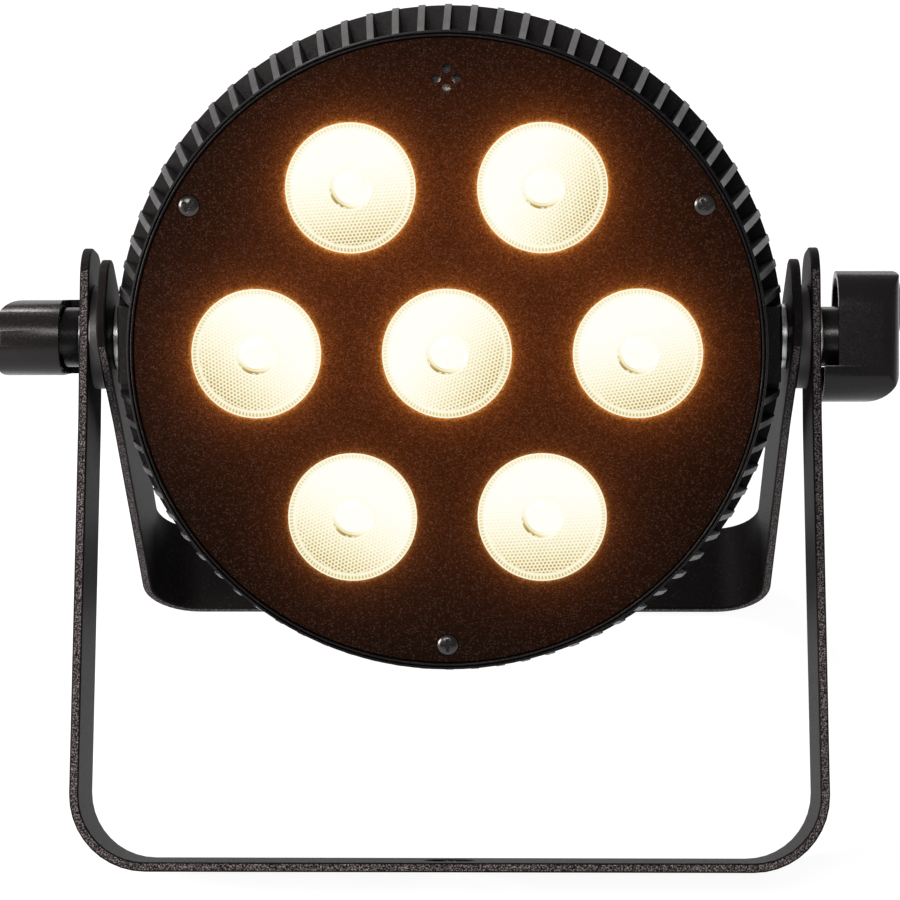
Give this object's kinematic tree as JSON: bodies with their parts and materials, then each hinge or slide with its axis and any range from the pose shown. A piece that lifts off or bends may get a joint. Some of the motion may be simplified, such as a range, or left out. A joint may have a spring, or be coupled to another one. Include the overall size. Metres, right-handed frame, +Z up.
{
  "type": "par can light",
  "caption": "Round finned stage light with honeycomb lenses, held by side knobs between two bent strap brackets that open as a floor stand.",
  "frame": {"origin": "middle of the overall footprint, on the floor under both bracket feet", "axes": "+X along the pivot axis to the right seen from the front, -Y towards the front, +Z up"},
  "size_m": [0.2591, 0.182, 0.2332],
  "materials": {
    "bracket_paint": "fine textured black powder coat",
    "housing_paint": "black powder coat over die-cast aluminium",
    "face_paint": "black powder coat with a fine sparkle",
    "friction_disc": "dull dark grey",
    "brass": "machined",
    "steel": "zinc plated",
    "black_screw": "blackened steel",
    "knob_plastic": "satin black moulded plastic",
    "seal_rubber": "black rubber",
    "lens_lit": "clear moulded lens lit warm white from behind",
    "holder_plastic": "black moulded plastic",
    "led_emitter": "phosphor coated chip under a clear dome",
    "lamp_board": "aluminium-cored board with white mask",
    "circuit_board": "glass-epoxy board with green mask",
    "electronic_parts": "mixed dark component bodies",
    "ribbon_cable": "grey flat cable",
    "sensor_white": "off-white capsule",
    "display_black": "black display body",
    "display_window": "dark tinted window",
    "button_plastic": "dark grey moulded button",
    "socket_blue": "blue moulded socket",
    "socket_grey": "light grey moulded socket",
    "socket_black": "black moulded socket",
    "fuse_glass": "clear glass tube with plated ends"
  },
  "bodies": {
    "front_bracket": {"front_bracket": "bracket_paint", "bracket_discs": "friction_disc"},
    "rear_bracket": {"rear_bracket": "bracket_paint"},
    "left_clamp": {"left_knob_washer": "steel"},
    "right_clamp": {"right_knob_washer": "steel"},
    "left_knob": {"left_knob": "knob_plastic", "left_knob_cap": "knob_plastic", "left_knob_bolt": "steel"},
    "right_knob": {"right_knob": "knob_plastic", "right_knob_cap": "knob_plastic", "right_knob_bolt": "steel"},
    "menu_button": {"button_menu": "button_plastic"},
    "up_button": {"button_up": "button_plastic"},
    "down_button": {"button_down": "button_plastic"},
    "enter_button": {"button_enter": "button_plastic"},
    "data_out_latch": {"data_out_latch": "steel"},
    "fuse_cap": {"fuse_cap": "socket_black", "fuse": "fuse_glass"},
    "head": {"inner_spacers": "steel", "pivot_inserts": "brass", "housing": "housing_paint", "bezel_ring": "housing_paint", "face_plate": "face_paint", "face_gasket": "seal_rubber", "face_screws": "black_screw", "lens_1": "lens_lit", "lens_2": "lens_lit", "lens_3": "lens_lit", "lens_4": "lens_lit", "lens_5": "lens_lit", "lens_6": "lens_lit", "lens_7": "lens_lit", "lens_holders": "holder_plastic", "led_emitters": "led_emitter", "led_board": "lamp_board", "led_board_screws": "steel", "sensor_board": "circuit_board", "sensor_capsule": "sensor_white", "sensor_sleeve": "seal_rubber", "driver_board": "circuit_board", "driver_parts": "electronic_parts", "supply_board": "circuit_board", "supply_parts": "electronic_parts", "board_standoffs": "brass", "board_screws": "steel", "display_ribbon": "ribbon_cable", "control_board": "circuit_board", "display_module": "display_black", "display_window": "display_window", "rear_cover": "housing_paint", "rear_cover_screws": "black_screw", "power_inlet": "socket_blue", "power_outlet": "socket_grey", "data_in_socket": "socket_black", "data_in_pins": "brass", "data_out_socket": "socket_black", "socket_screws": "steel", "fuse_holder": "socket_black", "safety_eye": "steel", "safety_eye_nut": "steel"}
  },
  "joints": [
    {"name": "head_tilt", "type": "hinge", "parent": "front_bracket", "child": "head", "pos_m": [0, 0.01103, 0.1326], "axis": [1, 0, 0], "range_deg": [-66, 113]},
    {"name": "rear_bracket_swing", "type": "hinge", "parent": "front_bracket", "child": "rear_bracket", "pos_m": [0, 0.01103, 0.1326], "axis": [1, 0, 0], "range_deg": [-64, 116]},
    {"name": "left_knob_turn", "type": "hinge", "parent": "left_clamp", "child": "left_knob", "pos_m": [0, 0.01103, 0.1326], "axis": [-1, 0, 0], "range_deg": [0, 720]},
    {"name": "right_knob_turn", "type": "hinge", "parent": "right_clamp", "child": "right_knob", "pos_m": [0, 0.01103, 0.1326], "axis": [1, 0, 0], "range_deg": [0, 720]},
    {"name": "left_clamp_travel", "type": "slide", "parent": "head", "child": "left_clamp", "axis": [-1, 0, 0], "range_m": [0, 0.0025]},
    {"name": "right_clamp_travel", "type": "slide", "parent": "head", "child": "right_clamp", "axis": [1, 0, 0], "range_m": [0, 0.0025]},
    {"name": "menu_press", "type": "slide", "parent": "head", "child": "menu_button", "axis": [0, -0.915, 0.4035], "range_m": [0, 0.0008], "stiffness_N_per_m": 800, "springref_m": -0.0008},
    {"name": "up_press", "type": "slide", "parent": "head", "child": "up_button", "axis": [0, -0.915, 0.4035], "range_m": [0, 0.0008], "stiffness_N_per_m": 800, "springref_m": -0.0008},
    {"name": "down_press", "type": "slide", "parent": "head", "child": "down_button", "axis": [0, -0.915, 0.4035], "range_m": [0, 0.0008], "stiffness_N_per_m": 800, "springref_m": -0.0008},
    {"name": "enter_press", "type": "slide", "parent": "head", "child": "enter_button", "axis": [0, -0.915, 0.4035], "range_m": [0, 0.0008], "stiffness_N_per_m": 800, "springref_m": -0.0008},
    {"name": "data_out_release", "type": "slide", "parent": "head", "child": "data_out_latch", "axis": [0, -0.915, 0.4035], "range_m": [0, 0.0015], "stiffness_N_per_m": 700, "springref_m": -0.001},
    {"name": "fuse_cap_turn", "type": "hinge", "parent": "head", "child": "fuse_cap", "pos_m": [0, 0.01429, 0.07433], "axis": [0, 0.915, -0.4035], "range_deg": [0, 60]}
  ],
  "couplings": [
    {"joint": "left_knob_turn", "follows": "left_clamp_travel", "rad_per_m": 5026.5},
    {"joint": "right_knob_turn", "follows": "right_clamp_travel", "rad_per_m": 5026.5}
  ]
}
